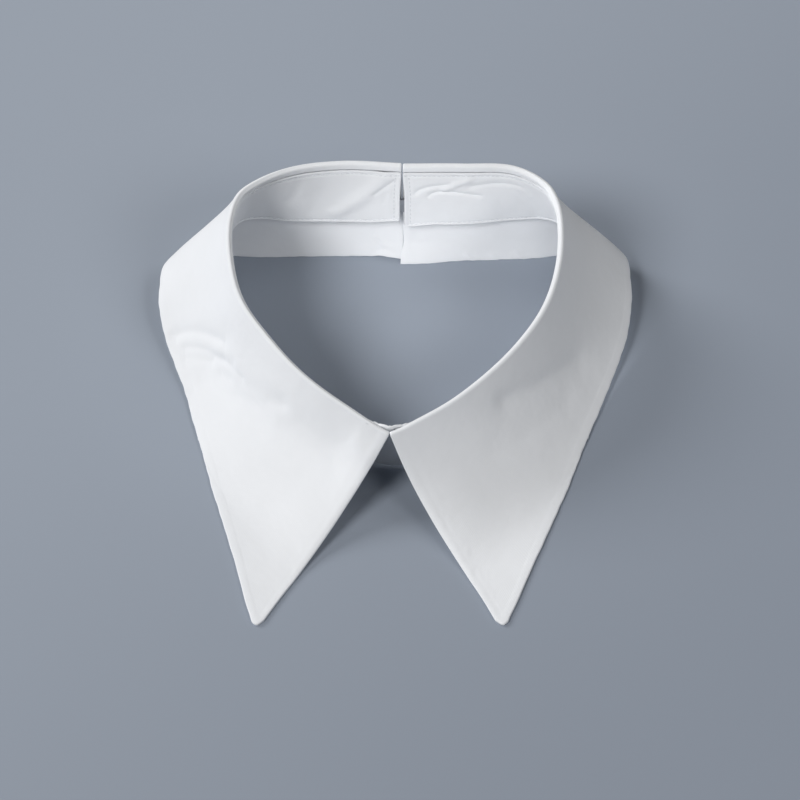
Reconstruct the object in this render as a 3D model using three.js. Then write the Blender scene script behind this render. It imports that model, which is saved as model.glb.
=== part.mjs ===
import * as THREE from 'three';

// Driving sizes, in millimetres. X runs to the right of the collar as it lies
// open towards the viewer, Y from the leaf points to the back, Z up from the table.
const clothThickness = 1.1;
const neckFront = 70.5;
const neckDepth = 118;
const neckHalfWidth = 64.5;
const leafHalfWidth = 93.5;
const foldHeight = 45;
const seamDrop = 3.2;
const foldSpace = 0.5;
const collarDepth = neckFront + neckDepth + foldSpace;
const seamGap = 0.38;
const endGap = 0.5;
const sideways = 0.04;

const claspWidth = 10;
const claspHeight = 6;
const claspThickness = 0.8;
const claspGap = 0.5;
const claspDrop = 19.5;

// Mesh steps: the stretches of the neck line with their steps, and the steps of a section
const stretches = [
  { to: 0.26, steps: 7 },
  { to: 0.44, steps: 10 },
  { to: 0.92, steps: 15 },
  { to: 1.0, steps: 8 },
];
const rollSteps = 6;
const fallSteps = 14;
const standSteps = 4;

// Sections of each leaf, from the back opening (0) to the front point (1) of the neck line.
// out, back, rise: the top of the fold, as shares of the neck half width, depth and height.
// edgeOut, edgeBack, edgeRise: the free edge, as shares of the leaf half width, depth and height.
// leave, arrive: degrees below level at which the cloth leaves the fold and reaches its edge.
// flat: share of the section that lies flat before its edge.
// bow, wave: sideways bow and double bow of the section, as shares of the fold height.
const leafColumns = [
  'at', 'out', 'back', 'rise', 'edgeOut', 'edgeBack', 'edgeRise', 'leave', 'arrive', 'flat', 'bow', 'wave',
];
const leftSections = [
  [0.00, 0.000, 0.988, 1.000, 0.000, 0.938, 0.00, 93, 122, 0.00, 0.000, 0.000],
  [0.12, 0.370, 0.998, 1.000, 0.285, 0.944, 0.00, 93, 122, 0.00, 0.000, 0.000],
  [0.22, 0.675, 0.973, 0.990, 0.575, 0.941, 0.00, 90, 120, 0.00, 0.000, 0.000],
  [0.30, 0.882, 0.914, 0.980, 0.820, 0.938, 0.02, 76, 108, 0.00, 0.000, 0.000],
  [0.34, 0.965, 0.868, 0.970, 0.970, 0.905, 0.13, 70, 64, 0.00, 0.000, 0.000],
  [0.40, 1.008, 0.770, 0.950, 1.003, 0.825, 0.16, 66, 42, 0.00, 0.000, 0.000],
  [0.50, 0.988, 0.610, 0.910, 0.965, 0.710, 0.08, 68, 32, 0.00, 0.000, 0.000],
  [0.60, 0.905, 0.450, 0.870, 0.868, 0.587, 0.02, 66, 29, 0.00, 0.000, 0.000],
  [0.70, 0.735, 0.310, 0.820, 0.784, 0.457, 0.00, 64, 20, 0.00, 0.000, 0.000],
  [0.80, 0.526, 0.180, 0.760, 0.706, 0.330, 0.00, 60, 8, 0.06, 0.000, -0.004],
  [0.90, 0.278, 0.076, 0.690, 0.604, 0.180, 0.00, 52, 0, 0.18, 0.003, -0.010],
  [0.96, 0.112, 0.027, 0.635, 0.512, 0.034, 0.00, 46, 0, 0.24, 0.005, -0.017],
  [0.98, 0.055, 0.013, 0.615, 0.494, 0.013, 0.00, 44, 0, 0.25, 0.006, -0.020],
  [0.99, 0.027, 0.006, 0.607, 0.477, 0.010, 0.00, 43, 0, 0.25, 0.006, -0.020],
  [1.00, 0.000, 0.000, 0.600, 0.454, 0.020, 0.00, 42, 0, 0.25, 0.006, -0.020],
];
const rightSections = [
  [0.00, 0.000, 0.986, 1.000, 0.000, 0.934, 0.00, 93, 122, 0.00, 0.000, 0.000],
  [0.12, 0.365, 0.986, 1.000, 0.280, 0.932, 0.00, 93, 122, 0.00, 0.000, 0.000],
  [0.22, 0.675, 0.979, 0.990, 0.568, 0.938, 0.00, 90, 120, 0.00, 0.000, 0.000],
  [0.30, 0.872, 0.906, 0.980, 0.795, 0.948, 0.02, 76, 108, 0.00, 0.000, 0.000],
  [0.34, 0.928, 0.845, 0.970, 0.930, 0.922, 0.13, 70, 64, 0.00, 0.000, 0.000],
  [0.40, 0.960, 0.750, 0.950, 0.970, 0.843, 0.16, 66, 42, 0.00, 0.000, 0.000],
  [0.50, 0.950, 0.580, 0.910, 0.960, 0.720, 0.09, 68, 32, 0.00, 0.000, 0.000],
  [0.60, 0.874, 0.420, 0.870, 0.893, 0.602, 0.03, 66, 29, 0.00, 0.000, 0.000],
  [0.70, 0.723, 0.280, 0.820, 0.796, 0.461, 0.00, 64, 20, 0.00, 0.000, 0.000],
  [0.80, 0.517, 0.156, 0.760, 0.713, 0.330, 0.00, 60, 8, 0.06, 0.000, -0.006],
  [0.90, 0.282, 0.058, 0.690, 0.603, 0.180, 0.00, 52, 0, 0.18, -0.004, -0.014],
  [0.96, 0.112, 0.020, 0.635, 0.494, 0.032, 0.00, 46, 0, 0.24, -0.008, -0.024],
  [0.98, 0.057, 0.010, 0.615, 0.478, 0.014, 0.00, 44, 0, 0.25, -0.010, -0.028],
  [0.99, 0.028, 0.005, 0.607, 0.462, 0.010, 0.00, 43, 0, 0.25, -0.011, -0.030],
  [1.00, 0.000, 0.000, 0.600, 0.434, 0.020, 0.00, 42, 0, 0.25, -0.011, -0.030],
];

// Sections of the stand, on the same neck line.
// spread, shift: its lower edge from the fold, as shares of the neck half width and depth.
// rise: height of the lower edge, as a share of the fold height.
// behind, climb: how far its top slips behind the seam of the leaf and climbs up to the fold.
const standColumns = ['at', 'spread', 'shift', 'rise', 'behind', 'climb'];
const standSections = [
  [0.00, 0.000, -0.043, 0.38, 0, 0],
  [0.12, 0.015, -0.046, 0.38, 0, 0],
  [0.22, 0.055, -0.022, 0.39, 0, 0],
  [0.27, 0.067, 0.010, 0.45, 0, 0],
  [0.31, 0.084, 0.030, 0.47, 0, 0],
  [0.35, 0.080, 0.025, 0.46, 0, 0],
  [0.42, 0.072, 0.000, 0.43, 0, 0],
  [0.52, 0.070, -0.019, 0.40, 0, 0],
  [0.62, 0.069, -0.030, 0.36, 0, 0],
  [0.72, 0.070, -0.038, 0.30, 0, 0],
  [0.82, 0.062, -0.025, 0.21, 0, 0],
  [0.90, 0.042, -0.010, 0.11, 0, 0],
  [0.95, 0.021, -0.003, 0.06, 1, 0],
  [1.00, 0.000, 0.015, 0.03, 1, 1],
];

// Soft folds of the leaves. from, to: the ends as [share along the neck line, share down the fall];
// wide: half width, and deep: depth, as shares of the leaf's width.
const leftFolds = [
  { from: [0.53, 0.85], to: [0.61, 0.36], wide: 0.12, deep: 0.016 },
  { from: [0.62, 0.72], to: [0.92, 0.20], wide: 0.16, deep: 0.04 },
];
const rightFolds = [
  { from: [0.62, 0.62], to: [0.78, 0.28], wide: 0.16, deep: 0.02 },
];

const rollOuter = foldSpace / 2 + clothThickness;
const rollInner = foldSpace / 2;
const neckLength = 200;
const leafWidth = 50;
const rollFade = 0.25;
const up = new THREE.Vector3(0, 0, 1);

// Shares of the neck line over which the cloth turns square to the middle line, and the short
// step on which its direction is taken
const frontTurn = 0.1;
const backTurn = 0.06;
const slopeStep = 0.004;

// Smooth values of every column of a table at any share of the neck line
function smoothTable(columns, rows) {
  const places = rows.map((row) => row[0]);
  const values = rows.flatMap((row) => row.slice(1));
  const spline = new THREE.CubicInterpolant(places, values, columns.length - 1);
  return (at) => {
    const found = spline.evaluate(at);
    return Object.fromEntries(columns.slice(1).map((column, k) => [column, found[k]]));
  };
}

const leafAt = {
  left: smoothTable(leafColumns, leftSections),
  right: smoothTable(leafColumns, rightSections),
};
const standAt = smoothTable(standColumns, standSections);
const sideSign = { left: -1, right: 1 };

// Places along the neck line, closer together at the shoulder and at the front
function stations() {
  const places = [0];
  let start = 0;
  for (const stretch of stretches) {
    for (let k = 1; k <= stretch.steps; k += 1) {
      places.push(start + ((stretch.to - start) * k) / stretch.steps);
    }
    start = stretch.to;
  }
  return places;
}

// Top of the fold at a share of the neck line
function foldPoint(side, at, middleGap) {
  const row = leafAt[side](at);
  return new THREE.Vector3(
    sideSign[side] * (middleGap + row.out * neckHalfWidth),
    neckFront + row.back * neckDepth,
    row.rise * foldHeight,
  );
}

// Level direction away from the neck, turned square to the middle line at the front and back
function outward(side, at) {
  const before = foldPoint(side, Math.max(at - slopeStep, 0), 0);
  const after = foldPoint(side, Math.min(at + slopeStep, 1), 0);
  const along = after.sub(before).setZ(0).normalize();
  const normal = new THREE.Vector3(along.y, -along.x, 0).multiplyScalar(-sideSign[side]);
  const front = THREE.MathUtils.smoothstep(at, 1 - frontTurn, 1);
  const back = 1 - THREE.MathUtils.smoothstep(at, 0, backTurn);
  normal.lerp(new THREE.Vector3(0, -1, 0), front);
  normal.lerp(new THREE.Vector3(0, 1, 0), back);
  return normal.normalize();
}

// Direction at an angle below level, in the upright plane of an outward direction
function dipped(out, degrees) {
  const angle = THREE.MathUtils.degToRad(degrees);
  return out.clone().multiplyScalar(Math.cos(angle)).addScaledVector(up, -Math.sin(angle));
}

// Face direction of cloth that runs at an angle below level
function facing(out, degrees) {
  return dipped(out, degrees - 90);
}

// How far the soft folds press the cloth in at a place of the leaf, fading out towards its roll
function foldDepth(folds, at, down) {
  let depth = 0;
  for (const fold of folds) {
    const start = new THREE.Vector2(fold.from[0] * neckLength, fold.from[1] * leafWidth);
    const end = new THREE.Vector2(fold.to[0] * neckLength, fold.to[1] * leafWidth);
    const place = new THREE.Vector2(at * neckLength, down * leafWidth);
    const line = end.clone().sub(start);
    const share = THREE.MathUtils.clamp(place.clone().sub(start).dot(line) / line.lengthSq(), 0, 1);
    const away = place.distanceTo(start.clone().addScaledVector(line, share)) / (fold.wide * leafWidth);
    depth += fold.deep * leafWidth * Math.exp(-away * away);
  }
  return depth * THREE.MathUtils.smoothstep(down, 0, rollFade);
}

// Level direction along the neck line, square to its outward direction
function alongNeckLine(out) {
  return new THREE.Vector3(-out.y, out.x, 0);
}

// Middle of the roll of the fold, and how the stand hangs from it towards its lower edge
function rollFrame(side, at, middleGap) {
  const row = standAt(at);
  const out = outward(side, at);
  const centre = foldPoint(side, at, middleGap).addScaledVector(up, -rollOuter);
  const lower = new THREE.Vector3(
    centre.x + sideSign[side] * row.spread * neckHalfWidth,
    centre.y + row.shift * neckDepth,
    row.rise * foldHeight,
  );
  const fall = lower.sub(centre);
  const hang = THREE.MathUtils.radToDeg(Math.atan2(-fall.z, fall.dot(out)));
  const length = Math.hypot(fall.z, fall.dot(out));
  const slip = fall.dot(alongNeckLine(out)) / length;
  return { out, centre, hang, length, slip, behind: row.behind, climb: row.climb };
}

// Underside line of the fall of a leaf, from the roll down to its free edge
function fallLine(side, at) {
  const row = leafAt[side](at);
  const frame = rollFrame(side, at, endGap / 2);
  const start = frame.centre.clone().addScaledVector(facing(frame.out, row.leave), rollInner);
  const edge = new THREE.Vector3(
    sideSign[side] * (endGap / 2 + row.edgeOut * leafHalfWidth),
    row.edgeBack * collarDepth,
    Math.max(row.edgeRise, 0) * foldHeight,
  );
  const flat = Math.max(row.flat, 0);
  const landing = new THREE.Vector3(
    THREE.MathUtils.lerp(start.x, edge.x, 1 - flat),
    THREE.MathUtils.lerp(start.y, edge.y, 1 - flat),
    edge.z,
  );
  const chord = landing.clone().sub(start);
  const tangent = alongNeckLine(frame.out);
  const slip = tangent.clone().multiplyScalar(chord.dot(tangent));
  const bows = [sideSign[side] * row.bow * foldHeight, sideSign[side] * row.wave * foldHeight];
  const drop = chord.clone().sub(slip).length();
  const leaving = dipped(frame.out, row.leave).multiplyScalar(drop).add(slip);
  const arriving = dipped(frame.out, Math.max(row.arrive, 0)).multiplyScalar(drop).add(slip);
  const line = [];
  for (let k = 0; k <= fallSteps; k += 1) {
    const down = k / fallSteps;
    const bow = bows[0] * Math.sin(Math.PI * down) + bows[1] * Math.sin(2 * Math.PI * down);
    if (down <= 1 - flat) {
      const t = down / (1 - flat);
      const point = start.clone().multiplyScalar(2 * t ** 3 - 3 * t ** 2 + 1);
      point.addScaledVector(leaving, t ** 3 - 2 * t ** 2 + t);
      point.addScaledVector(landing, 3 * t ** 2 - 2 * t ** 3);
      point.addScaledVector(arriving, t ** 3 - t ** 2);
      line.push(point.setX(point.x + bow));
    } else {
      const point = landing.clone().lerp(edge, (down - 1 + flat) / flat);
      line.push(point.setX(point.x + bow));
    }
  }
  return { frame, row, line };
}

// Closed shell between two grids of points that face each other
function shell(top, under, flip) {
  const rows = top.length;
  const steps = top[0].length;
  const positions = [...top.flat(), ...under.flat()].flatMap((point) => [point.x, point.y, point.z]);
  const index = [];
  const upper = (i, j) => i * steps + j;
  const lower = (i, j) => rows * steps + i * steps + j;
  const face = (a, b, c, d) => {
    if (flip) {
      index.push(a, c, b, a, d, c);
    } else {
      index.push(a, b, c, a, c, d);
    }
  };
  for (let i = 0; i < rows - 1; i += 1) {
    for (let j = 0; j < steps - 1; j += 1) {
      face(upper(i, j), upper(i, j + 1), upper(i + 1, j + 1), upper(i + 1, j));
      face(lower(i, j), lower(i + 1, j), lower(i + 1, j + 1), lower(i, j + 1));
    }
    face(upper(i, 0), upper(i + 1, 0), lower(i + 1, 0), lower(i, 0));
    face(upper(i, steps - 1), lower(i, steps - 1), lower(i + 1, steps - 1), upper(i + 1, steps - 1));
  }
  for (let j = 0; j < steps - 1; j += 1) {
    face(upper(0, j), lower(0, j), lower(0, j + 1), upper(0, j + 1));
    face(upper(rows - 1, j), upper(rows - 1, j + 1), lower(rows - 1, j + 1), lower(rows - 1, j));
  }
  const geometry = new THREE.BufferGeometry();
  geometry.setAttribute('position', new THREE.Float32BufferAttribute(positions, 3));
  geometry.setIndex(index);
  geometry.computeVertexNormals();
  return geometry;
}

// Leaf: a lip that rises from the seam, the roll of the fold, and the fall down to the free edge
function leafGeometry(side, folds) {
  const places = stations();
  const falls = places.map((at) => fallLine(side, at));
  const top = [];
  const under = [];
  falls.forEach((fall, i) => {
    const { out, centre, hang } = fall.frame;
    const topLine = [];
    const underLine = [];
    const lip = seamDrop - rollOuter;
    const inward = facing(out, hang).negate();
    const down = dipped(out, hang);
    topLine.push(centre.clone().addScaledVector(inward, rollOuter).addScaledVector(down, lip));
    underLine.push(centre.clone().addScaledVector(inward, rollInner).addScaledVector(down, lip));
    for (let k = 0; k < rollSteps; k += 1) {
      const turn = THREE.MathUtils.lerp(hang - 180, fall.row.leave, k / rollSteps);
      const normal = facing(out, turn);
      topLine.push(centre.clone().addScaledVector(normal, rollOuter));
      underLine.push(centre.clone().addScaledVector(normal, rollInner));
    }
    const before = falls[Math.max(i - 1, 0)].line;
    const after = falls[Math.min(i + 1, falls.length - 1)].line;
    for (let k = 0; k <= fallSteps; k += 1) {
      const alongDown = fall.line[Math.min(k + 1, fallSteps)].clone().sub(fall.line[Math.max(k - 1, 0)]);
      const alongNeck = after[k].clone().sub(before[k]);
      const normal = alongNeck.cross(alongDown).multiplyScalar(sideSign[side]).normalize();
      if (k === 0) {
        normal.copy(facing(out, fall.row.leave));
      }
      const press = foldDepth(folds, places[i], k / fallSteps);
      const base = fall.line[k].clone().addScaledVector(normal, -press);
      const face = base.clone().addScaledVector(normal, clothThickness);
      base.z = Math.max(base.z, 0);
      face.z = Math.max(face.z, 0);
      underLine.push(base);
      topLine.push(face);
    }
    top.push(topLine);
    under.push(underLine);
  });
  return shell(top, under, side === 'right');
}

// Stand: one band from the left end at the back, round the front, to the right end
function standGeometry() {
  const places = stations();
  const rounds = [
    ...places.map((at) => ({ side: 'left', at })),
    ...places.slice(0, -1).reverse().map((at) => ({ side: 'right', at })),
  ];
  const inner = [];
  const outer = [];
  for (const { side, at } of rounds) {
    const frame = rollFrame(side, at, (1 - at) * endGap / 2);
    const inward = facing(frame.out, frame.hang).negate();
    const down = dipped(frame.out, frame.hang);
    const slip = alongNeckLine(frame.out).multiplyScalar(frame.slip);
    const seam = seamDrop - rollOuter + seamGap;
    const start = THREE.MathUtils.lerp(seam, -rollOuter, Math.max(frame.climb, 0));
    const aside = Math.max(frame.behind, 0) * (clothThickness + seamGap);
    const innerLine = [];
    const outerLine = [];
    for (let k = 0; k <= standSteps; k += 1) {
      const share = k / standSteps;
      const reach = THREE.MathUtils.lerp(start, frame.length, share);
      const place = frame.centre.clone().addScaledVector(down, reach);
      place.addScaledVector(slip, Math.max(reach - seam, 0));
      place.addScaledVector(inward, aside * (1 - share ** 3));
      innerLine.push(place.clone().addScaledVector(inward, rollOuter));
      outerLine.push(place.clone().addScaledVector(inward, rollInner));
    }
    inner.push(innerLine);
    outer.push(outerLine);
  }
  return shell(inner, outer, true);
}

// Clasp: one plain plate behind the back opening that holds the two ends of the stand
function claspGeometry() {
  const { out, centre, hang } = rollFrame('left', 0, 0);
  const outwards = facing(out, hang);
  const down = dipped(out, hang);
  const geometry = new THREE.BoxGeometry(claspWidth, claspThickness, claspHeight);
  const place = centre.clone().addScaledVector(outwards, -rollInner + claspGap + claspThickness / 2);
  place.addScaledVector(down, claspDrop);
  geometry.rotateX(THREE.MathUtils.degToRad(90 - hang));
  geometry.translate(place.x, place.y, place.z);
  return geometry;
}

// Lie of the collar: it is pushed a little sideways towards its back
function leanSideways(geometry) {
  const lean = new THREE.Matrix4().makeShear(0, 0, sideways, 0, 0, 0);
  geometry.applyMatrix4(lean);
  return geometry;
}

function cloth(name, geometry) {
  const material = new THREE.MeshStandardMaterial({ color: 0xe6e8ec, roughness: 0.92, metalness: 0 });
  const mesh = new THREE.Mesh(geometry, material);
  mesh.name = name;
  return mesh;
}

function metal(name, geometry) {
  const material = new THREE.MeshStandardMaterial({ color: 0xb4b7bc, roughness: 0.4, metalness: 1 });
  const mesh = new THREE.Mesh(geometry, material);
  mesh.name = name;
  return mesh;
}

const collar = new THREE.Group();
collar.name = 'detachable_collar';
collar.add(cloth('leaf_left', leanSideways(leafGeometry('left', leftFolds))));
collar.add(cloth('leaf_right', leanSideways(leafGeometry('right', rightFolds))));
collar.add(cloth('collar_stand', leanSideways(standGeometry())));
collar.add(metal('back_clasp', leanSideways(claspGeometry())));

// The origin is set under the middle of the overall box
const box = new THREE.Box3().setFromObject(collar);
const middle = box.getCenter(new THREE.Vector3());
for (const mesh of collar.children) {
  mesh.geometry.translate(-middle.x, -middle.y, -box.min.z);
}

export default collar;
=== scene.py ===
import math

import bmesh
import bpy
import numpy as np
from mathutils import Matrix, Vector


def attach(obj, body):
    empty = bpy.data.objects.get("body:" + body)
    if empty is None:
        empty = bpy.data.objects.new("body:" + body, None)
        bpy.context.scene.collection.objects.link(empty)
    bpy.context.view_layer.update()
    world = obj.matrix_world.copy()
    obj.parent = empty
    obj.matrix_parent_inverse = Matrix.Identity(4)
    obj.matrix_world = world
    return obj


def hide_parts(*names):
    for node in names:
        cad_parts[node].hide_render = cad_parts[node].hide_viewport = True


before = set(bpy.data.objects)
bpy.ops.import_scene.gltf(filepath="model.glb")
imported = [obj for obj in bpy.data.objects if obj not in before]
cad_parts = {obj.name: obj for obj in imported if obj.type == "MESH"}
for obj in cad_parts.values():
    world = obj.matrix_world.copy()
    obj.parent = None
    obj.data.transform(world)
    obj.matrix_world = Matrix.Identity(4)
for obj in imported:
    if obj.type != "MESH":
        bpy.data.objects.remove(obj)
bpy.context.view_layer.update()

# All sizes below are in millimetres and turned into metres when a mesh is made.
MM = 0.001

# Driving sizes, the same as in the solids
THICKNESS = 1.1
NECK_FRONT = 70.5
NECK_DEPTH = 118
NECK_HALF_WIDTH = 64.5
LEAF_HALF_WIDTH = 93.5
FOLD_HEIGHT = 45
SEAM_DROP = 3.2
FOLD_SPACE = 0.5
SEAM_GAP = 0.38
END_GAP = 0.5
NECK_LENGTH = 200
LEAF_WIDTH = 50
STAND_WIDTH = 26

# Sizes worked out from them
COLLAR_DEPTH = NECK_FRONT + NECK_DEPTH + FOLD_SPACE
ROLL_INNER = FOLD_SPACE / 2
ROLL_OUTER = ROLL_INNER + THICKNESS
LIP_LENGTH = SEAM_DROP - ROLL_OUTER

# Shares of the neck line over which the outward direction turns square to the middle line, and
# the step over which the line's slope is taken
FRONT_TURN = 0.1
BACK_TURN = 0.06
SLOPE_STEP = 0.004

# Sideways lie for each millimetre towards the back, and the middle of the collar's overall box
SIDEWAYS = 0.04
MIDDLE = (4.799, 95.774)

SIGN = {"left": -1, "right": 1}

# Sections of each leaf, from the back opening (at 0) to the front point (at 1) of the neck line.
# out, back, rise: the top of the fold, as shares of the neck half width, depth and height.
# edge_out, edge_back, edge_rise: the free edge, as shares of the leaf half width, depth and height.
# leave, arrive: degrees below level at which the cloth leaves the fold and reaches its edge.
# flat: share that lies flat before the edge. bow, wave: sideways bows, as shares of the height.
# Near the front the cloth leaves the fold more steeply here than in the solids.
LEAF_COLUMNS = ("at", "out", "back", "rise", "edge_out", "edge_back", "edge_rise",
                "leave", "arrive", "flat", "bow", "wave")
LEAF_SECTIONS = {
    "left": (
        (0.00, 0.000, 0.988, 1.000, 0.000, 0.938, 0.00, 93, 122, 0.00, 0.000, 0.000),
        (0.12, 0.370, 0.998, 1.000, 0.285, 0.944, 0.00, 93, 122, 0.00, 0.000, 0.000),
        (0.22, 0.675, 0.973, 0.990, 0.575, 0.941, 0.00, 90, 120, 0.00, 0.000, 0.000),
        (0.30, 0.882, 0.914, 0.980, 0.820, 0.938, 0.02, 76, 108, 0.00, 0.000, 0.000),
        (0.34, 0.965, 0.868, 0.970, 0.970, 0.905, 0.13, 70, 64, 0.00, 0.000, 0.000),
        (0.40, 1.008, 0.770, 0.950, 1.003, 0.825, 0.16, 66, 42, 0.00, 0.000, 0.000),
        (0.50, 0.988, 0.610, 0.910, 0.965, 0.710, 0.08, 68, 32, 0.00, 0.000, 0.000),
        (0.60, 0.905, 0.450, 0.870, 0.868, 0.587, 0.02, 66, 29, 0.00, 0.000, 0.000),
        (0.70, 0.735, 0.310, 0.820, 0.784, 0.457, 0.00, 64, 20, 0.00, 0.000, 0.000),
        (0.80, 0.526, 0.180, 0.760, 0.706, 0.330, 0.00, 60, 8, 0.06, 0.000, -0.004),
        (0.90, 0.278, 0.076, 0.690, 0.604, 0.180, 0.00, 57, 0, 0.18, 0.003, -0.010),
        (0.96, 0.112, 0.027, 0.635, 0.512, 0.034, 0.00, 56, 0, 0.24, 0.005, -0.017),
        (0.98, 0.055, 0.013, 0.615, 0.494, 0.013, 0.00, 55, 0, 0.25, 0.006, -0.020),
        (0.99, 0.027, 0.006, 0.607, 0.477, 0.010, 0.00, 55, 0, 0.25, 0.006, -0.020),
        (1.00, 0.000, 0.000, 0.600, 0.454, 0.020, 0.00, 55, 0, 0.25, 0.006, -0.020),
    ),
    "right": (
        (0.00, 0.000, 0.986, 1.000, 0.000, 0.934, 0.00, 93, 122, 0.00, 0.000, 0.000),
        (0.12, 0.365, 0.986, 1.000, 0.280, 0.932, 0.00, 93, 122, 0.00, 0.000, 0.000),
        (0.22, 0.675, 0.979, 0.990, 0.568, 0.938, 0.00, 90, 120, 0.00, 0.000, 0.000),
        (0.30, 0.872, 0.906, 0.980, 0.795, 0.948, 0.02, 76, 108, 0.00, 0.000, 0.000),
        (0.34, 0.928, 0.845, 0.970, 0.930, 0.922, 0.13, 70, 64, 0.00, 0.000, 0.000),
        (0.40, 0.960, 0.750, 0.950, 0.970, 0.843, 0.16, 66, 42, 0.00, 0.000, 0.000),
        (0.50, 0.950, 0.580, 0.910, 0.960, 0.720, 0.09, 68, 32, 0.00, 0.000, 0.000),
        (0.60, 0.874, 0.420, 0.870, 0.893, 0.602, 0.03, 66, 29, 0.00, 0.000, 0.000),
        (0.70, 0.723, 0.280, 0.820, 0.796, 0.461, 0.00, 64, 20, 0.00, 0.000, 0.000),
        (0.80, 0.517, 0.156, 0.760, 0.713, 0.330, 0.00, 60, 8, 0.06, 0.000, -0.006),
        (0.90, 0.282, 0.058, 0.690, 0.603, 0.180, 0.00, 58, 0, 0.18, -0.004, -0.014),
        (0.96, 0.112, 0.020, 0.635, 0.494, 0.032, 0.00, 58, 0, 0.24, -0.008, -0.024),
        (0.98, 0.057, 0.010, 0.615, 0.478, 0.014, 0.00, 58, 0, 0.25, -0.010, -0.028),
        (0.99, 0.028, 0.005, 0.607, 0.462, 0.010, 0.00, 58, 0, 0.25, -0.011, -0.030),
        (1.00, 0.000, 0.000, 0.600, 0.434, 0.020, 0.00, 58, 0, 0.25, -0.011, -0.030),
    ),
}

# Sections of the stand, on the same neck line.
# spread, shift: its lower edge from the fold, as shares of the neck half width and depth.
# rise: height of the lower edge, as a share of the fold height.
# behind, climb: how far its top slips behind the seam of the leaf and climbs up to the fold.
# At the back corners the lower edge lies about 1 mm lower here than in the solids.
STAND_COLUMNS = ("at", "spread", "shift", "rise", "behind", "climb")
STAND_SECTIONS = (
    (0.00, 0.000, -0.043, 0.38, 0, 0),
    (0.12, 0.015, -0.046, 0.38, 0, 0),
    (0.22, 0.055, -0.022, 0.39, 0, 0),
    (0.27, 0.067, 0.010, 0.425, 0, 0),
    (0.31, 0.084, 0.030, 0.445, 0, 0),
    (0.35, 0.080, 0.025, 0.45, 0, 0),
    (0.42, 0.072, 0.000, 0.43, 0, 0),
    (0.52, 0.070, -0.019, 0.40, 0, 0),
    (0.62, 0.069, -0.030, 0.36, 0, 0),
    (0.72, 0.070, -0.038, 0.30, 0, 0),
    (0.82, 0.062, -0.025, 0.21, 0, 0),
    (0.90, 0.042, -0.010, 0.11, 0, 0),
    (0.95, 0.021, -0.003, 0.06, 1, 0),
    (1.00, 0.000, 0.015, 0.03, 1, 1),
)

# Soft folds of the leaves: from and to as shares along the neck line and down the fall, half
# width and depth in millimetres. They fade out towards the roll over a share of the fall.
ROLL_FADE = 0.25
FOLD_COLUMNS = ("from_at", "from_down", "to_at", "to_down", "wide", "deep")
LEAF_FOLDS = {
    "left": (
        (0.53, 0.85, 0.61, 0.36, 6, 0.8),
        (0.62, 0.72, 0.92, 0.20, 8, 2.0),
    ),
    "right": (
        (0.62, 0.62, 0.78, 0.28, 8, 1.0),
    ),
}

# Creases that stay in the cloth: start, middle and end as shares along the neck line and down the
# fall or the stand, half width and depth in millimetres, negative where the cloth stands up.
CREASE_STEPS = 8
CREASE_COLUMNS = ("from_at", "from_down", "by_at", "by_down", "to_at", "to_down", "wide", "deep")
LEAF_CREASES = {
    "left": (
        (0.510, 0.93, 0.540, 0.66, 0.610, 0.42, 2.4, 0.60),
        (0.545, 0.86, 0.568, 0.70, 0.630, 0.48, 1.5, 0.35),
        (0.562, 0.88, 0.592, 0.70, 0.655, 0.42, 2.0, 0.50),
        (0.528, 0.86, 0.553, 0.68, 0.610, 0.50, 2.0, -0.40),
        (0.600, 0.62, 0.635, 0.50, 0.690, 0.42, 1.6, 0.40),
        (0.640, 0.60, 0.710, 0.40, 0.790, 0.26, 3.2, 0.65),
        (0.700, 0.55, 0.740, 0.44, 0.800, 0.24, 2.8, 0.35),
        (0.680, 0.46, 0.730, 0.36, 0.790, 0.30, 3.4, -0.35),
        (0.955, 0.10, 0.967, 0.11, 0.985, 0.12, 2.4, -0.60),
        (0.600, 0.95, 0.612, 0.93, 0.625, 0.95, 2.6, 0.35),
        (0.050, 0.97, 0.030, 0.93, 0.012, 0.97, 2.0, -0.45),
        (0.045, 0.80, 0.030, 0.88, 0.025, 1.00, 1.2, 0.30),
    ),
    "right": (
        (0.610, 0.62, 0.657, 0.47, 0.780, 0.22, 3.4, 0.45),
        (0.690, 0.70, 0.760, 0.55, 0.850, 0.40, 4.0, 0.35),
        (0.120, 0.93, 0.125, 0.97, 0.130, 1.00, 0.9, 0.30),
        (0.160, 0.94, 0.163, 0.97, 0.165, 1.00, 0.8, 0.25),
        (0.195, 0.93, 0.200, 0.97, 0.205, 1.00, 0.9, 0.30),
        (0.015, 0.62, 0.012, 0.80, 0.012, 0.96, 2.4, 0.45),
    ),
}
STAND_CREASES = {
    "left": (
        (0.125, 0.80, 0.070, 0.46, 0.033, 0.10, 3.0, -0.90),
        (0.052, 0.44, 0.036, 0.32, 0.015, 0.18, 0.8, 0.45),
        (0.028, 0.42, 0.030, 0.52, 0.032, 0.62, 0.7, 0.20),
        (0.200, 0.20, 0.206, 0.36, 0.217, 0.53, 2.4, 0.25),
        (0.150, 0.30, 0.160, 0.50, 0.165, 0.72, 3.0, 0.20),
    ),
    "right": (
        (0.023, 0.39, 0.043, 0.29, 0.093, 0.23, 1.0, 0.55),
        (0.053, 0.44, 0.083, 0.36, 0.150, 0.45, 0.9, 0.55),
        (0.085, 0.31, 0.105, 0.22, 0.133, 0.13, 1.2, -0.60),
        (0.133, 0.27, 0.185, 0.21, 0.233, 0.23, 1.2, 0.45),
        (0.232, 0.26, 0.243, 0.33, 0.250, 0.41, 1.5, -0.38),
        (0.187, 0.62, 0.187, 0.77, 0.190, 0.86, 3.5, 0.25),
        (0.027, 0.62, 0.030, 0.73, 0.035, 0.85, 2.6, 0.25),
    ),
}

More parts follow.
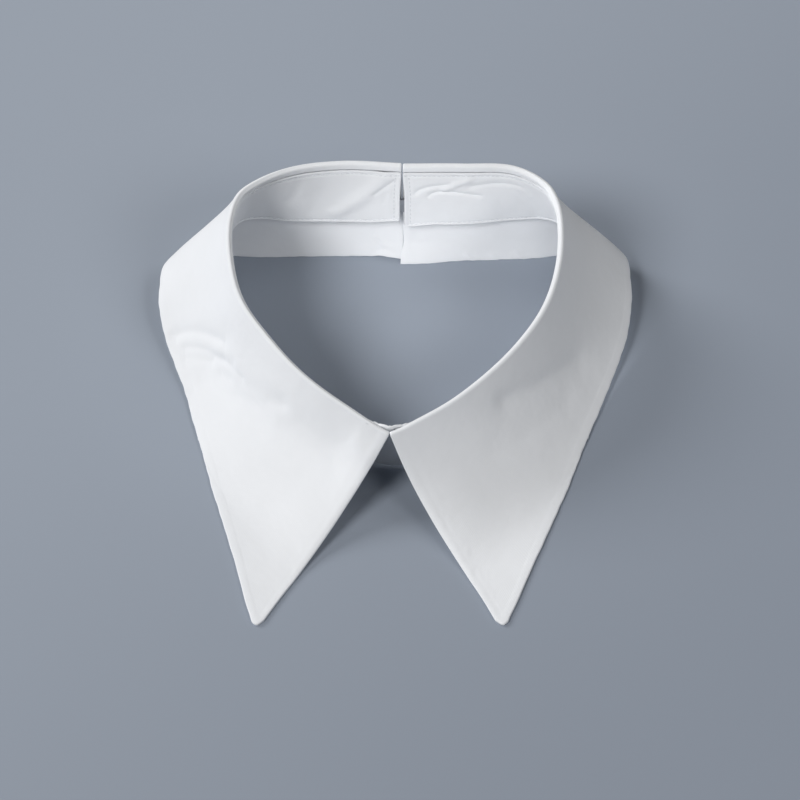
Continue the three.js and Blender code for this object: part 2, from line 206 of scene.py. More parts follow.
# Lie of the ends at the back opening, in millimetres: how far the stand's end stands clear of the
# middle line and hangs lower, how far the leaf's end is moved right and forward over its lower
# half, how far its foot slides forward on the table and how far its hem is lifted.
END_COLUMNS = ("clear", "lower", "aside", "forward", "foot", "lift")
ENDS = {
    "left": (0.45, -1.0, 1.1, 1.3, 0.0, 1.4),
    "right": (0.75, 1.6, -0.5, -0.5, 2.6, 0.0),
}

# How far from the back opening the stand's end, the leaf's lower half and its hem are moved, and
# over which shares of the stand's height and of the fall each of them sets in
END_REACH = 14
FOOT_REACH = 9
HEM_REACH = 26
CLEAR_FROM, CLEAR_TO = 0, 0.5
LOWER_FROM, LOWER_TO = 0.5, 0.8
HEM_FROM, HEM_TO = 0.8, 1

# Corners of the leaves at the front: pushed forward, from a place on the neck line to its end,
# and fading out over a share of the fall
CORNER_FORWARD = 1.8
CORNER_FROM = 180
CORNER_FADE = 0.4

# Top of the stand behind them: raised unevenly and pushed forward between two shares
BAND_RISE = 1.2
BAND_FORWARD = 1.8
BAND_FROM, BAND_TO = 0.92, 0.98
BUMP_MEAN = 0.8
BUMP_SIZE = 0.35
BUMP_LENGTHS = (3.7, 2.3)

# Edges of the leaves: the seam allowance that shows through, the steps at which it ends and
# starts, and the waves of the hem
ALLOWANCE_WIDTH = 4.0
ALLOWANCE_RISE = 0.07
ALLOWANCE_STEP = 0.8
ALLOWANCE_FROM, ALLOWANCE_FULL = 0.6, 1.8
EDGE_WAVE = 0.16
EDGE_WAVE_LENGTHS = (9.3, 5.1, 14.7)
EDGE_WAVE_FROM = 0.85

# Groove pressed along the roll, on one of the roll's lines
ROLL_GROOVE = 0.22
GROOVE_WIDTH = 0.3
GROOVE_LINE = 9

# Sewing of the stand: the turned lower edge with its raised rim, and where the rows of stitches
# pull the cloth in
TURNED_EDGE = 1.1
TOP_ROW = 1.5
END_ROW = 2.4
ROW_DEPTH = 0.3
ROW_WIDTH = 0.4
RIM_RISE = 0.3
RIM_WIDTH = 0.4

# Stitches: their spacing and size, how far they stand out, and the rings of each thread as
# shares of its half length and half width
STITCH_PITCH = 1.9
STITCH_LENGTH = 1.2
STITCH_WIDTH = 0.4
STITCH_PROUD = 0.04
STITCH_REACH = 0.3
STITCH_SIDES = 8
STITCH_RINGS = ((-1.0, 0.0), (-0.86, 0.7), (-0.4, 1.0), (0.4, 1.0), (0.86, 0.7), (1.0, 0.0))

# Steps of the meshes: along and down each piece, lines of the roll, and distances from a rounded
# edge and from the seam
LEAF_STEPS = (290, 110)
STAND_STEPS = (230, 60)
ROLL_LINES = 24
EDGE_STEPS = (0.0, 0.03, 0.12, 0.28, 0.55)
LIP_STEPS = EDGE_STEPS + (1.0, 1.4)
FALL_FROM = len(LIP_STEPS) + ROLL_LINES
WELD_DISTANCE = 1e-7


def hermite(t):
    """Weights of a smooth curve's start, the slope there, its end and the slope there."""
    return 2 * t**3 - 3 * t**2 + 1, t**3 - 2 * t**2 + t, 3 * t**2 - 2 * t**3, t**3 - t**2


def columns(names, rows, at):
    """Smooth values of every column of a table at each share of the neck line."""
    table = np.array(rows, float)
    places = table[:, 0]
    values = table[:, 1:]
    slopes = np.diff(values, axis=0) / np.diff(places)[:, None]
    tangents = np.vstack([slopes[:1], (slopes[:-1] + slopes[1:]) / 2, slopes[-1:]])
    k = np.clip(np.searchsorted(places, at, side="right") - 1, 0, len(places) - 2)
    step = (places[k + 1] - places[k])[:, None]
    start, leave, end, arrive = hermite((at - places[k])[:, None] / step)
    found = values[k] * start + values[k + 1] * end
    found += step * (tangents[k] * leave + tangents[k + 1] * arrive)
    return {name: found[:, i] for i, name in enumerate(names[1:])}


def smoothstep(x, low, high):
    """0 up to a low value, 1 from a high one, smooth between them."""
    t = np.clip((x - low) / (high - low), 0, 1)
    return t * t * (3 - 2 * t)


def unit(vectors):
    """Vectors of length 1."""
    return vectors / np.maximum(np.linalg.norm(vectors, axis=-1, keepdims=True), 1e-12)


def fold_point(side, at, middle_gap):
    """Top of the fold at each share of the neck line."""
    row = columns(LEAF_COLUMNS, LEAF_SECTIONS[side], at)
    return np.stack([
        SIGN[side] * (middle_gap + row["out"] * NECK_HALF_WIDTH),
        NECK_FRONT + row["back"] * NECK_DEPTH,
        row["rise"] * FOLD_HEIGHT,
    ], axis=-1)


def outward(side, at):
    """Level direction away from the neck, square to the middle line at the front and back."""
    ahead = fold_point(side, np.minimum(at + SLOPE_STEP, 1), 0)
    along = ahead - fold_point(side, np.maximum(at - SLOPE_STEP, 0), 0)
    along[:, 2] = 0
    along = unit(along)
    normal = np.stack([along[:, 1], -along[:, 0], np.zeros(len(at))], axis=-1) * -SIGN[side]
    front = smoothstep(at, 1 - FRONT_TURN, 1)[:, None]
    back = 1 - smoothstep(at, 0, BACK_TURN)[:, None]
    normal = normal * (1 - front) + np.array([0, -1, 0]) * front
    normal = normal * (1 - back) + np.array([0, 1, 0]) * back
    return unit(normal)


def dipped(out, degrees):
    """Direction at an angle below level, in the upright plane of an outward direction."""
    angle = np.radians(degrees)[..., None]
    return out * np.cos(angle) + np.array([0, 0, -1]) * np.sin(angle)


def facing(out, degrees):
    """Direction that cloth faces when it runs at an angle below level."""
    return dipped(out, degrees - 90)


def roll_frame(side, at, middle_gap):
    """Middle of the roll of the fold, and how the stand hangs from it to its lower edge."""
    row = columns(STAND_COLUMNS, STAND_SECTIONS, at)
    out = outward(side, at)
    centre = fold_point(side, at, middle_gap) - np.array([0, 0, ROLL_OUTER])
    fall = np.stack([
        SIGN[side] * row["spread"] * NECK_HALF_WIDTH,
        row["shift"] * NECK_DEPTH,
        row["rise"] * FOLD_HEIGHT - centre[:, 2],
    ], axis=-1)
    across = (fall * out).sum(-1)
    length = np.hypot(fall[:, 2], across)
    along = np.stack([-out[:, 1], out[:, 0], np.zeros(len(at))], axis=-1)
    return {
        "out": out,
        "centre": centre,
        "hang": np.degrees(np.arctan2(-fall[:, 2], across)),
        "length": length,
        "along": along,
        "slip": (fall * along).sum(-1) / length,
        "behind": np.maximum(row["behind"], 0),
        "climb": np.maximum(row["climb"], 0),
    }


def fall_surface(hang, row, side, down):
    """Underside of the fall of a leaf, from the roll (down 0) to its free edge (down 1)."""
    out = hang["out"]
    start = hang["centre"] + facing(out, row["leave"]) * ROLL_INNER
    edge = np.stack([
        SIGN[side] * (END_GAP / 2 + row["edge_out"] * LEAF_HALF_WIDTH),
        row["edge_back"] * COLLAR_DEPTH,
        np.maximum(row["edge_rise"], 0) * FOLD_HEIGHT,
    ], axis=-1)
    flat = np.maximum(row["flat"], 0)[:, None]
    landing = start + (edge - start) * (1 - flat)
    landing[:, 2] = edge[:, 2]
    chord = landing - start
    slip = hang["along"] * (chord * hang["along"]).sum(-1, keepdims=True)
    drop = np.linalg.norm(chord - slip, axis=-1, keepdims=True)
    leaving = dipped(out, row["leave"]) * drop + slip
    arriving = dipped(out, np.maximum(row["arrive"], 0)) * drop + slip
    weights = hermite((down[None, :] / (1 - flat))[..., None])
    parts = (start, leaving, landing, arriving)
    bent = sum(part[:, None] * weight for part, weight in zip(parts, weights))
    rest = (down[None, :] - 1 + flat) / np.maximum(flat, 1e-9)
    level = landing[:, None] + (edge - landing)[:, None] * rest[..., None]
    surface = np.where(down[None, :, None] <= (1 - flat)[..., None], bent, level)
    bow = row["bow"][:, None] * np.sin(np.pi * down) + row["wave"][:, None] * np.sin(2 * np.pi * down)
    surface[..., 0] += SIGN[side] * FOLD_HEIGHT * bow
    return surface


def spot(row, name, width):
    """Place of a named point of a fold or crease, in millimetres along and down a width."""
    return np.array([row[name + "_at"] * NECK_LENGTH, row[name + "_down"] * width])


def line_distance(along, down, start, end):
    """Distance of places from the straight line between two points."""
    line = end - start
    share = ((along - start[0]) * line[0] + (down - start[1]) * line[1]) / (line @ line)
    share = np.clip(share, 0, 1)
    return np.hypot(along - start[0] - line[0] * share, down - start[1] - line[1] * share)


def fold_depth(folds, along, down):
    """Depth of the soft folds at places in millimetres along the neck line and down the fall."""
    depth = 0
    for row in folds:
        fold = dict(zip(FOLD_COLUMNS, row))
        start, end = (spot(fold, name, LEAF_WIDTH) for name in ("from", "to"))
        away = line_distance(along, down, start, end)
        depth = depth + fold["deep"] * ridge(away, fold["wide"])
    return depth


def crease_depth(creases, along, down, width):
    """Depth of the creases at places in millimetres along the neck line and down a width."""
    depth = 0
    share = np.linspace(0, 1, CREASE_STEPS + 1)[:, None]
    bend = 4 * share * (1 - share)
    for row in creases:
        line = dict(zip(CREASE_COLUMNS, row))
        start, by, end = (spot(line, name, width) for name in ("from", "by", "to"))
        points = start + (end - start) * share + (by - (start + end) / 2) * bend
        pairs = zip(points[:-1], points[1:])
        away = np.min([line_distance(along, down, first, last) for first, last in pairs], axis=0)
        depth = depth + line["deep"] * ridge(away, line["wide"])
    return depth


def wave(along, lengths):
    """Uneven run of an edge: a few waves of the given lengths, together at most 1."""
    waves = [np.sin(2 * np.pi * along / length + k) for k, length in enumerate(lengths)]
    return sum(waves) / len(waves)


def surface_normals(grid, sign):
    """Directions square to a grid of points, on the side that a sign says."""
    across = np.gradient(grid, axis=0)
    down = np.gradient(grid, axis=1)
    return unit(np.cross(across, down)) * sign


def run_lengths(grid, axis):
    """Length along a grid's lines from their start to each point."""
    steps = np.linalg.norm(np.diff(grid, axis=axis), axis=-1)
    lengths = np.cumsum(steps, axis=axis)
    first = np.zeros_like(np.take(lengths, [0], axis=axis))
    return np.concatenate([first, lengths], axis=axis)


def rounded(distance):
    """Thickness of the cloth at a distance from its rounded edge."""
    share = np.clip(distance / (THICKNESS / 2), 0, 1)
    return THICKNESS * np.sqrt(1 - (1 - share) ** 2)


def ridge(distance, width):
    """1 on a line, falling away smoothly over a width on both sides of it."""
    return np.exp(-(distance / width) ** 2)


def with_edges(steps, length, first=True, last=True):
    """Shares from 0 to 1, with close steps for a rounded edge at either end."""
    close = [step / length for step in EDGE_STEPS]
    low = close if first else [0.0]
    high = [1 - share for share in reversed(close)] if last else [1.0]
    middle = np.linspace(low[-1], high[0], steps + 1)[1:-1]
    return np.array([*low, *middle, *high])


def lean(points):
    """The lie of the collar, pushed a little sideways towards its back, about its middle."""
    moved = points.copy()
    moved[..., 0] += SIDEWAYS * points[..., 1] - MIDDLE[0]
    moved[..., 1] -= MIDDLE[1]
    return moved


def placed(name, data):
    """New object in the scene."""
    item = bpy.data.objects.new(name, data)
    bpy.context.scene.collection.objects.link(item)
    return item


def closed_object(name, mesh, turn_out=False):
    """New object from a mesh whose points at one place are joined, faces turned out on request."""
    body = bmesh.new()
    body.from_mesh(mesh)
    bmesh.ops.remove_doubles(body, verts=body.verts, dist=WELD_DISTANCE)
    if turn_out:
        bmesh.ops.recalc_face_normals(body, faces=body.faces)
    body.to_mesh(mesh)
    body.free()
    mesh.shade_smooth()
    return placed(name, mesh)


def cloth_object(name, top, under, along, down, flip):
    """Closed cloth between two grids of points in millimetres, with its flat lie as a UV map."""
    rows, steps = top.shape[:2]
    points = np.concatenate([lean(top).reshape(-1, 3), lean(under).reshape(-1, 3)]) * MM
    first = (np.arange(rows - 1)[:, None] * steps + np.arange(steps - 1)).ravel()
    quads = np.stack([first, first + 1, first + steps + 1, first + steps], axis=1)
    turned = quads[:, [0, 3, 2, 1]]
    upper, lower = (turned, quads) if flip else (quads, turned)
    mesh = bpy.data.meshes.new(name)
    mesh.from_pydata(points.tolist(), [], np.concatenate([upper, lower + rows * steps]).tolist())
    flat = np.stack(np.broadcast_arrays(along, down), axis=-1).reshape(-1, 2) * MM
    flat = np.concatenate([flat, flat])
    layer = mesh.uv_layers.new(name="flat_lie")
    corners = np.zeros(len(mesh.loops), np.int32)
    mesh.loops.foreach_get("vertex_index", corners)
    layer.data.foreach_set("uv", flat[corners].astype(np.float32).ravel())
    return closed_object(name, mesh)


def leaf_underside(side, at, down):
    """Underside of a leaf as a grid: the lip up from the seam, then the roll, then the fall."""
    row = columns(LEAF_COLUMNS, LEAF_SECTIONS[side], at)
    hang = roll_frame(side, at, END_GAP / 2)
    out, centre = hang["out"], hang["centre"]
    lip = centre - facing(out, hang["hang"]) * ROLL_INNER
    downward = dipped(out, hang["hang"])
    lines = [lip + downward * (LIP_LENGTH - step) for step in LIP_STEPS]
    for share in np.linspace(0, 1, ROLL_LINES, endpoint=False):
        turn = hang["hang"] - 180 + (row["leave"] - hang["hang"] + 180) * share
        lines.append(centre + facing(out, turn) * ROLL_INNER)
    fall = fall_surface(hang, row, side, down)
    return np.concatenate([np.stack(lines, axis=1), fall], axis=1)


def settle_leaf(side, under, along, down):
    """Press the folds and creases into a leaf's underside and lay its ends and hem as they lie."""
    places = down[None, :] * LEAF_WIDTH
    depth = fold_depth(LEAF_FOLDS[side], along, places) * smoothstep(down, 0, ROLL_FADE)
    depth += crease_depth(LEAF_CREASES[side], along, places, LEAF_WIDTH)
    fall = under[:, FALL_FROM:]
    fall -= surface_normals(under, SIGN[side])[:, FALL_FROM:] * depth[..., None]
    upper = np.concatenate([np.ones(FALL_FROM), 1 - smoothstep(down, 0, CORNER_FADE)])
    under[..., 1] -= CORNER_FORWARD * smoothstep(along, CORNER_FROM, NECK_LENGTH) * upper
    end = dict(zip(END_COLUMNS, ENDS[side]))
    lower = (1 - smoothstep(along, 0, FOOT_REACH)) * smoothstep(down, LOWER_FROM, LOWER_TO)
    hem = (1 - smoothstep(along, 0, HEM_REACH)) * smoothstep(down, HEM_FROM, HEM_TO)
    fall[..., 0] += end["aside"] * lower
    fall[..., 1] -= end["forward"] * lower + end["foot"] * hem
    fall[..., 2] += end["lift"] * hem
    edge_wave = EDGE_WAVE * wave(along, EDGE_WAVE_LENGTHS) * smoothstep(down, EDGE_WAVE_FROM, 1)
    fall += unit(np.gradient(under, axis=1))[:, FALL_FROM:] * edge_wave[..., None]


def leaf(side):
    """Half of the fall: closed cloth with its seam allowance and the groove along the roll."""
    at = with_edges(LEAF_STEPS[0], NECK_LENGTH)
    down = with_edges(LEAF_STEPS[1], LEAF_WIDTH, first=False)
    along = at[:, None] * NECK_LENGTH
    under = leaf_underside(side, at, down)
    settle_leaf(side, under, along, down)
    normals = surface_normals(under, SIGN[side])
    middle = under + normals * THICKNESS / 2
    run_down = run_lengths(middle, 1)
    run_along = run_lengths(middle, 0)
    to_edge = run_down[:, -1:] - run_down
    to_front = run_along[-1:] - run_along
    thick = rounded(np.minimum.reduce([to_edge, run_down, run_along, to_front]))
    sewn = np.minimum(to_edge, to_front)
    allowance = ALLOWANCE_RISE * (1 - smoothstep(sewn, ALLOWANCE_WIDTH - ALLOWANCE_STEP, ALLOWANCE_WIDTH))
    allowance *= smoothstep(sewn, ALLOWANCE_FROM, ALLOWANCE_FULL)
    crest = run_down[:, len(LIP_STEPS) + GROOVE_LINE][:, None]
    groove = ROLL_GROOVE * ridge(run_down - crest, GROOVE_WIDTH) * thick / THICKNESS
    top = middle + normals * (thick / 2 + allowance - groove)[..., None]
    under = middle - normals * thick[..., None] / 2
    for face in (top, under):
        face[..., 2] = np.maximum(face[..., 2], 0)
    return cloth_object("cloth_leaf_" + side, top, under, along, run_down, side == "right")


def stand_side(side, at, shares):
    """Middle of the stand's cloth on one side, from its top (share 0) to its lower edge (share 1)."""
    hang = roll_frame(side, at, (1 - at) * END_GAP / 2)
    end = dict(zip(END_COLUMNS, ENDS[side]))
    near_end = 1 - smoothstep(at * NECK_LENGTH, 0, END_REACH)
    inward = -facing(hang["out"], hang["hang"])
    downward = dipped(hang["out"], hang["hang"])
    seam = LIP_LENGTH + SEAM_GAP
    start = (seam - (ROLL_OUTER + seam) * hang["climb"])[:, None]
    length = (hang["length"] + end["lower"] * near_end)[:, None]
    reach = start + (length - start) * shares
    slipped = np.maximum(reach - seam, 0) * hang["slip"][:, None]
    aside = (hang["behind"] * (THICKNESS + SEAM_GAP))[:, None]
    inset = aside * (1 - shares**3) + (ROLL_OUTER + ROLL_INNER) / 2
    place = hang["centre"][:, None] + downward[:, None] * reach[..., None]
    place += hang["along"][:, None] * slipped[..., None]
    place += inward[:, None] * inset[..., None]
    clear = end["clear"] * near_end[:, None] * smoothstep(shares, CLEAR_FROM, CLEAR_TO)
    place[..., 0] += SIGN[side] * clear
    front = smoothstep(at, BAND_FROM, BAND_TO)[:, None] * (1 - shares) ** 3
    bumps = BUMP_MEAN + BUMP_SIZE * wave(at * NECK_LENGTH, BUMP_LENGTHS)
    place[..., 1] -= BAND_FORWARD * front
    place[..., 2] += BAND_RISE * front * bumps[:, None]
    return place


def stand_middle(half, shares):
    """Middle of the stand's cloth with its creases, and the place of each line on the flat cloth."""
    right_half = half[:-1][::-1]
    flat = np.concatenate([half, 2 - right_half])[:, None] * NECK_LENGTH
    middle = []
    depths = []
    for side, at in (("left", half), ("right", right_half)):
        along = at[:, None] * NECK_LENGTH
        middle.append(stand_side(side, at, shares))
        depths.append(crease_depth(STAND_CREASES[side], along, shares[None, :] * STAND_WIDTH, STAND_WIDTH))
    middle = np.concatenate(middle)
    return middle - surface_normals(middle, 1) * np.concatenate(depths)[..., None], flat


def stand():
    """The band from its left end at the back, round the front, to its right end."""
    half = with_edges(STAND_STEPS[0], NECK_LENGTH, last=False)
    shares = with_edges(STAND_STEPS[1], STAND_WIDTH)
    middle, along = stand_middle(half, shares)
    normals = surface_normals(middle, 1)
    run_down = run_lengths(middle, 1)
    run_along = run_lengths(middle, 0)
    to_lower = run_down[:, -1:] - run_down
    to_ends = np.minimum(run_along, run_along[-1:] - run_along)
    thick = rounded(np.minimum.reduce([run_down, to_lower, to_ends]))
    rows = (to_lower - TURNED_EDGE, run_down - TOP_ROW, to_ends - END_ROW)
    sewn = np.maximum.reduce([ridge(row, ROW_WIDTH) for row in rows])
    rim = RIM_RISE * ridge(np.minimum(to_lower, to_ends) - RIM_WIDTH, RIM_WIDTH)
    inner = middle + normals * (thick * (0.5 + (rim - ROW_DEPTH * sewn) / THICKNESS))[..., None]
    outer = middle - normals * thick[..., None] / 2
    band = cloth_object("cloth_stand", inner, outer, along, run_down, True)
    return band, stitches("stitches_stand", stitch_rows(inner, normals, run_down, run_along))


def at_length(grid, normals, lengths, wanted):
    """Points and face directions of a grid's lines at a wanted length along each."""
    points = []
    faces = []
    for line, face, length, place in zip(grid, normals, lengths, wanted):
        points.append(along_line(place, length, line))
        faces.append(along_line(place, length, face))
    return np.array(points), unit(np.array(faces))


def along_line(place, run, values):
    """Vector at a length along a line, between the vectors at its points."""
    return np.array([np.interp(place, run, values[:, k]) for k in range(3)])


def stitch_rows(inner, normals, run_down, run_along):
    """The stand's four rows of stitches: lower edge, top and both ends, as points and faces."""
    rows = [
        at_length(inner, normals, run_down, run_down[:, -1] - TURNED_EDGE),
        at_length(inner, normals, run_down, np.full(len(inner), TOP_ROW)),
    ]
    across = [grid.transpose(1, 0, 2) for grid in (inner, normals)]
    between = (run_down[0] > TOP_ROW) & (run_down[0] < run_down[0, -1] - TURNED_EDGE)
    for wanted in (np.full(inner.shape[1], END_ROW), run_along[-1] - END_ROW):
        row = at_length(*across, run_along.T, wanted)
        rows.append([part[between] for part in row])
    return rows


def stitch(centre, line, face):
    """Points of one small rounded thread that lies along a line on the cloth."""
    side = np.cross(face, line)
    points = []
    for share, wide in STITCH_RINGS:
        for turn in np.linspace(0, 2 * np.pi, STITCH_SIDES, endpoint=False):
            point = centre + line * share * STITCH_LENGTH / 2
            point = point + side * np.cos(turn) * wide * STITCH_WIDTH / 2
            points.append(point + face * (np.sin(turn) * wide * STITCH_WIDTH / 2 + STITCH_PROUD))
    return points


def stitches(name, rows):
    """All the single stitches along the rows, as one object."""
    points = []
    faces = []
    for curve, normals in rows:
        run = run_lengths(curve[None], 1)[0]
        for place in np.arange(STITCH_PITCH / 2, run[-1], STITCH_PITCH):
            ahead = along_line(place + STITCH_REACH, run, curve)
            behind = along_line(place - STITCH_REACH, run, curve)
            face = unit(along_line(place, run, normals))
            first = len(points)
            points += stitch(along_line(place, run, curve), unit(ahead - behind), face)
            for start in range(first, len(points) - STITCH_SIDES, STITCH_SIDES):
                for k in range(STITCH_SIDES):
                    a = start + k
                    b = start + (k + 1) % STITCH_SIDES
                    faces.append((a, b, b + STITCH_SIDES, a + STITCH_SIDES))
    mesh = bpy.data.meshes.new(name)
    mesh.from_pydata((lean(np.array(points)) * MM).tolist(), [], faces)
    return closed_object(name, mesh, turn_out=True)


# Colours, as shares of red, green and blue light
COTTON_WHITE = (0.90, 0.915, 0.94)
COTTON_SHADE = 0.96
THREAD_DARK = (0.70, 0.72, 0.75)
THREAD_LIGHT = (0.88, 0.90, 0.93)
METAL_DARK = (0.45, 0.46, 0.48)
METAL_LIGHT = (0.58, 0.59, 0.61)
# Floor paper: painted light at the back left and painted shade at the front right, over real random grain
PAPER_PAINTED_LIGHT = (0.385, 0.43, 0.50)
PAPER_PAINTED_SHADE = (0.285, 0.32, 0.38)
PAPER_GRAIN = (0.95, 0.95, 0.95)

# Scales of the patterns per metre, and depths of the bumps in metres
WEAVE_SCALE = 700
WEAVE_DEPTH = 0.00008
TINT_SCALE = 60
SOFTNESS_SCALE = 110
SOFTNESS_DEPTH = 0.0006
TWIST_SCALE = 2500
BRUSH_SCALE = 400
PAPER_SCALE = 3

# Floor: half its side, and the direction and reach in metres over which its painted light changes, from
# lighter at the back left to painted shade at the front right
FLOOR_SIDE = 3.0
PAINTED_LIGHT_TURN = (0.8, -0.6, 0)
PAINTED_LIGHT_REACH = 0.25


def new_material(name):
    """Material with its node tree and its shader."""
    material = bpy.data.materials.new(name)
    material.use_nodes = True
    tree = material.node_tree
    return material, tree, tree.nodes["Principled BSDF"]


def noise(tree, place, scale, detail=2):
    """Soft random pattern at a place."""
    pattern = tree.nodes.new("ShaderNodeTexNoise")
    pattern.inputs["Scale"].default_value = scale
    pattern.inputs["Detail"].default_value = detail
    tree.links.new(place, pattern.inputs["Vector"])
    return pattern.outputs["Fac"]


def mixed(tree, share, first, second):
    """Colour that goes from a first to a second one with a share."""
    mix = tree.nodes.new("ShaderNodeMix")
    mix.data_type = "RGBA"
    mix.inputs["A"].default_value = (*first, 1)
    mix.inputs["B"].default_value = (*second, 1)
    tree.links.new(share, mix.inputs["Factor"])
    return mix.outputs["Result"]


def bumped(tree, height, strength, distance):
    """Bump node on a height."""
    bump = tree.nodes.new("ShaderNodeBump")
    bump.inputs["Strength"].default_value = strength
    bump.inputs["Distance"].default_value = distance
    tree.links.new(height, bump.inputs["Height"])
    return bump


def crossed_threads(tree, place):
    """Height of a plain weave: two sets of threads, square to each other."""
    crossed = tree.nodes.new("ShaderNodeMath")
    crossed.operation = "MAXIMUM"
    for k, direction in enumerate(("X", "Y")):
        threads = tree.nodes.new("ShaderNodeTexWave")
        threads.wave_type = "BANDS"
        threads.bands_direction = direction
        threads.inputs["Scale"].default_value = WEAVE_SCALE
        threads.inputs["Distortion"].default_value = 1.2
        threads.inputs["Detail"].default_value = 1
        tree.links.new(place, threads.inputs["Vector"])
        tree.links.new(threads.outputs["Fac"], crossed.inputs[k])
    return crossed.outputs["Value"]


def cotton(name, colour):
    """White woven cotton: fine crossed threads, soft unevenness and a slight sheen."""
    material, tree, shader = new_material(name)
    shader.inputs["Roughness"].default_value = 0.9
    shader.inputs["Sheen Weight"].default_value = 0.15
    shader.inputs["Sheen Roughness"].default_value = 0.5
    shader.inputs["Specular IOR Level"].default_value = 0.25
    flat = tree.nodes.new("ShaderNodeUVMap")
    flat.uv_map = "flat_lie"
    place = flat.outputs["UV"]
    shade = [part * COTTON_SHADE for part in colour]
    tint = mixed(tree, noise(tree, place, TINT_SCALE, detail=4), shade, colour)
    tree.links.new(tint, shader.inputs["Base Color"])
    weave = bumped(tree, crossed_threads(tree, place), 0.25, WEAVE_DEPTH)
    softness = bumped(tree, noise(tree, place, SOFTNESS_SCALE), 0.6, SOFTNESS_DEPTH)
    tree.links.new(weave.outputs["Normal"], softness.inputs["Normal"])
    tree.links.new(softness.outputs["Normal"], shader.inputs["Normal"])
    return material


def thread_cotton():
    """White sewing thread with its twist."""
    material, tree, shader = new_material("thread_cotton")
    shader.inputs["Roughness"].default_value = 0.7
    place = tree.nodes.new("ShaderNodeTexCoord").outputs["Object"]
    tint = mixed(tree, noise(tree, place, TWIST_SCALE), THREAD_DARK, THREAD_LIGHT)
    tree.links.new(tint, shader.inputs["Base Color"])
    return material


def dull_metal(name):
    """Brushed metal."""
    material, tree, shader = new_material(name)
    shader.inputs["Metallic"].default_value = 1
    place = tree.nodes.new("ShaderNodeTexCoord").outputs["Object"]
    brushed = noise(tree, place, BRUSH_SCALE, detail=3)
    roughness = tree.nodes.new("ShaderNodeMapRange")
    roughness.inputs["To Min"].default_value = 0.3
    roughness.inputs["To Max"].default_value = 0.5
    tree.links.new(brushed, roughness.inputs["Value"])
    tree.links.new(roughness.outputs["Result"], shader.inputs["Roughness"])
    tree.links.new(mixed(tree, brushed, METAL_DARK, METAL_LIGHT), shader.inputs["Base Color"])
    return material


def floor_paper_painted_light():
    """Plain blue-grey paper with painted light, lighter at the back left, and painted shade towards the
    front right.
    """
    material, tree, shader = new_material("floor_paper_painted_light")
    shader.inputs["Roughness"].default_value = 0.8
    shader.inputs["Specular IOR Level"].default_value = 0.2
    place = tree.nodes.new("ShaderNodeTexCoord").outputs["Object"]
    turned = tree.nodes.new("ShaderNodeVectorMath")
    turned.operation = "DOT_PRODUCT"
    turned.inputs[1].default_value = PAINTED_LIGHT_TURN
    tree.links.new(place, turned.inputs[0])
    share = tree.nodes.new("ShaderNodeMapRange")
    share.interpolation_type = "SMOOTHSTEP"
    share.inputs["From Min"].default_value = -PAINTED_LIGHT_REACH
    share.inputs["From Max"].default_value = PAINTED_LIGHT_REACH
    tree.links.new(turned.outputs["Value"], share.inputs["Value"])
    # Painted light and shade: the paper goes from lighter at the back left to darker at the front right
    painted_light_tone = mixed(tree, share.outputs["Result"], PAPER_PAINTED_LIGHT, PAPER_PAINTED_SHADE)
    grain = tree.nodes.new("ShaderNodeMix")
    grain.data_type = "RGBA"
    grain.blend_type = "MULTIPLY"
    grain.inputs["B"].default_value = (*PAPER_GRAIN, 1)
    tree.links.new(painted_light_tone, grain.inputs["A"])
    tree.links.new(noise(tree, place, PAPER_SCALE), grain.inputs["Factor"])
    tree.links.new(grain.outputs["Result"], shader.inputs["Base Color"])
    return material


def floor():
    """Level ground under the collar."""
    mesh = bpy.data.meshes.new("floor")
    corners = [(x * FLOOR_SIDE, y * FLOOR_SIDE, 0) for x, y in ((-1, -1), (1, -1), (1, 1), (-1, 1))]
    mesh.from_pydata(corners, [], [(0, 1, 2, 3)])
    mesh.materials.append(floor_paper_painted_light())
    piece = placed("floor", mesh)


# Soft studio lights: where each stands round the collar (degrees from the right, against the
# clock), how high (degrees) and how strong, and how wide each looks from the collar (degrees)
LIGHTS = (
    ("light_left_back", 150, 29, 1.6),
    ("light_left_front", 213, 43, 1.6),
    ("light_right_front", 325, 36, 0.68),
    ("light_right_back", 25, 45, 0.32),
)
LIGHT_SPREAD = 24

# A small soft lamp in the neck opening, level with the fold at the back, that lights the inside of
# the back. Its places are in metres, its power in watts and its cone in degrees.
LAMP_PLACE = (-0.012, 0.0, 0.045)
LAMP_AIM = (0.02, 0.093, 0.026)
LAMP_POWER = 0.105
LAMP_CONE = 84
LAMP_RADIUS = 0.015

# Even light from all round
SKY_COLOUR = (0.95, 0.97, 1.0, 1)
SKY_STRENGTH = 0.03


def sky():
    """Weak even light."""
    world = bpy.data.worlds.new("studio")
    bpy.context.scene.world = world
    world.use_nodes = True
    background = world.node_tree.nodes["Background"]
    background.inputs["Color"].default_value = SKY_COLOUR
    background.inputs["Strength"].default_value = SKY_STRENGTH


def studio_light(name, turn, height, strength):
    """One soft light from far away."""
    lamp = bpy.data.lights.new(name, "SUN")
    lamp.energy = strength
    lamp.angle = math.radians(LIGHT_SPREAD)
    turn, height = math.radians(turn), math.radians(height)
    level = math.cos(height)
    towards = Vector((math.cos(turn) * level, math.sin(turn) * level, math.sin(height)))
    placed(name, lamp).rotation_euler = towards.to_track_quat("Z", "Y").to_euler()


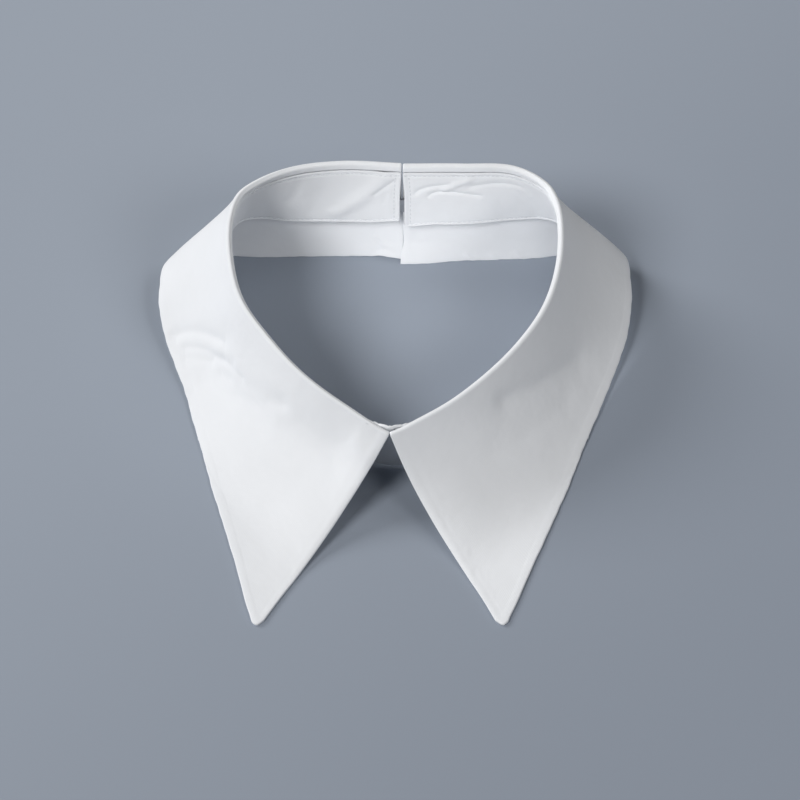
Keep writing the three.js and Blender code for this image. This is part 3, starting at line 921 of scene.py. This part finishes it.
def inside_lamp():
    """The lamp in the neck opening."""
    lamp = bpy.data.lights.new("light_inside", "SPOT")
    lamp.energy = LAMP_POWER
    lamp.spot_size = math.radians(LAMP_CONE)
    lamp.spot_blend = 1
    lamp.shadow_soft_size = LAMP_RADIUS
    item = placed("light_inside", lamp)
    item.location = LAMP_PLACE
    towards = Vector(LAMP_PLACE) - Vector(LAMP_AIM)
    item.rotation_euler = towards.to_track_quat("Z", "Y").to_euler()


# The camera looks down at the collar from the front, at the photograph's angle, in metres and
# degrees. The sensor is in millimetres.
CAMERA_TARGET = (0.0018, 0.0095, 0.0)
CAMERA_ELEVATION = 52
CAMERA_DISTANCE = 1.0
CAMERA_WIDTH_AT_TARGET = 0.308
CAMERA_SENSOR = 36
CAMERA_NEAR = 0.01


def camera():
    """Camera with a field of view as wide as the photograph's at its target."""
    lens = bpy.data.cameras.new("camera")
    lens.sensor_width = CAMERA_SENSOR
    lens.lens = CAMERA_SENSOR * CAMERA_DISTANCE / CAMERA_WIDTH_AT_TARGET
    lens.clip_start = CAMERA_NEAR
    seat = placed("camera", lens)
    angle = math.radians(CAMERA_ELEVATION)
    seat.location = (
        CAMERA_TARGET[0],
        CAMERA_TARGET[1] - CAMERA_DISTANCE * math.cos(angle),
        CAMERA_TARGET[2] + CAMERA_DISTANCE * math.sin(angle),
    )
    seat.rotation_euler = (math.pi / 2 - angle, 0, 0)
    bpy.context.scene.camera = seat


def dress(piece, material, body, node):
    """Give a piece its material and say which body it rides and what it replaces."""
    piece.data.materials.clear()
    piece.data.materials.append(material)
    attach(piece, body)
    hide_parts(node)


leaf_cotton = cotton("leaf_cotton", COTTON_WHITE)
stand_cotton = cotton("stand_cotton", COTTON_WHITE)
for side in ("left", "right"):
    piece = leaf(side)
    dress(piece, leaf_cotton, "root", "leaf_" + side)
band, thread = stand()
dress(band, stand_cotton, "root", "collar_stand")
dress(thread, thread_cotton(), "root", "collar_stand")
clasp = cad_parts["back_clasp"]
clasp.data.materials.clear()
clasp.data.materials.append(dull_metal("clasp_metal"))

floor()
sky()
for row in LIGHTS:
    studio_light(*row)
inside_lamp()
camera()
bpy.context.scene.view_settings.view_transform = "Standard"
